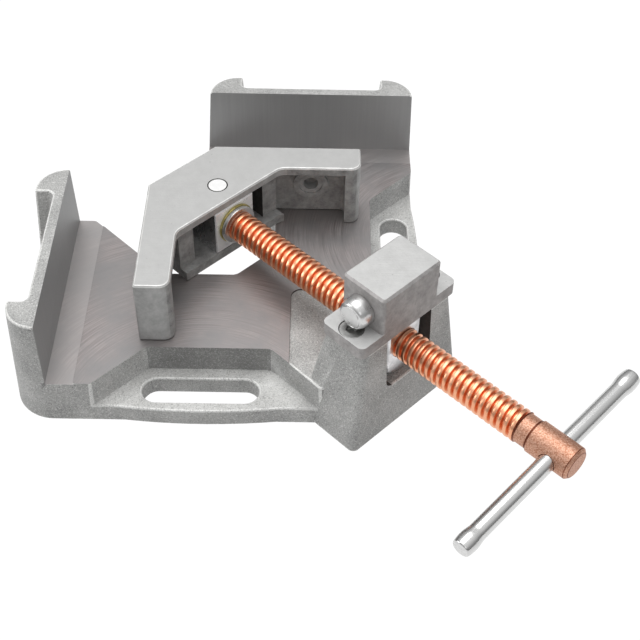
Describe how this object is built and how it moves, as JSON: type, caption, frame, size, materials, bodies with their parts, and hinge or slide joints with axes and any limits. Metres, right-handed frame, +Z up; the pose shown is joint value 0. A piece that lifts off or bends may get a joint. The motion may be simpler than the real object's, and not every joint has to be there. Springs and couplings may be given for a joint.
{
  "type": "two-axis clamp",
  "caption": "Right-angle welder's clamp: cast base with two fixed jaws and slotted feet, swivelling screw with sliding cross bar, and a pivoting right-angled moving jaw.",
  "frame": {"origin": "on the upright axis of the swivel nut, at the underside of the base", "axes": "+X along the rear fixed jaw and out of the left fixed jaw's working face, +Y towards the rear fixed jaw, +Z up from the bench"},
  "size_m": [0.334, 0.3408, 0.1008],
  "materials": {
    "base_casting": "silver-grey sand-cast skin, milled faces",
    "cap_casting": "silver-grey, ground",
    "jaw_casting": "silver-grey satin casting",
    "screw_steel": "oiled",
    "bright_steel": "polished",
    "zinc_steel": "bright zinc plating",
    "yellow_zinc_steel": "yellow zinc plating",
    "copper_plated_steel": "copper plating"
  },
  "bodies": {
    "frame": {"base": "base_casting", "nut_cap": "cap_casting", "cap_screws": "screw_steel", "retaining_plug": "bright_steel"},
    "nut": {"swivel_nut": "zinc_steel"},
    "carriage": {"swivel_block": "zinc_steel", "zinc_washer": "yellow_zinc_steel"},
    "screw": {"spindle": "copper_plated_steel", "thrust_washer": "bright_steel", "rear_washer": "bright_steel", "lock_nut": "zinc_steel", "lock_pin": "bright_steel"},
    "bar": {"handle_bar": "bright_steel"},
    "jaw": {"moving_jaw": "jaw_casting", "upper_pivot_pin": "bright_steel", "lower_pivot_pin": "bright_steel"}
  },
  "joints": [
    {"name": "nut_swing", "type": "hinge", "parent": "frame", "child": "nut", "pos_m": [0, 0, 0], "axis": [0, 0, 1], "range_deg": [-3.2, 1.8]},
    {"name": "clamp_travel", "type": "slide", "parent": "nut", "child": "carriage", "axis": [0.7157, -0.6984, 0], "range_m": [-0.058, 0.092]},
    {"name": "spindle_turn", "type": "hinge", "parent": "carriage", "child": "screw", "pos_m": [0, 0, 0.0529], "axis": [0.7157, -0.6984, 0], "range_deg": [-5220.5, 8280.5]},
    {"name": "bar_slide", "type": "slide", "parent": "screw", "child": "bar", "axis": [0.6952, 0.7123, 0.0965], "range_m": [-0.04, 0.051]},
    {"name": "jaw_pivot", "type": "hinge", "parent": "carriage", "child": "jaw", "pos_m": [-0.09662, 0.09429, 0], "axis": [0, 0, 1], "range_deg": [-1.8, 3.2]}
  ],
  "couplings": [
    {"joint": "spindle_turn", "follows": "clamp_travel", "rad_per_m": 1570.8}
  ]
}
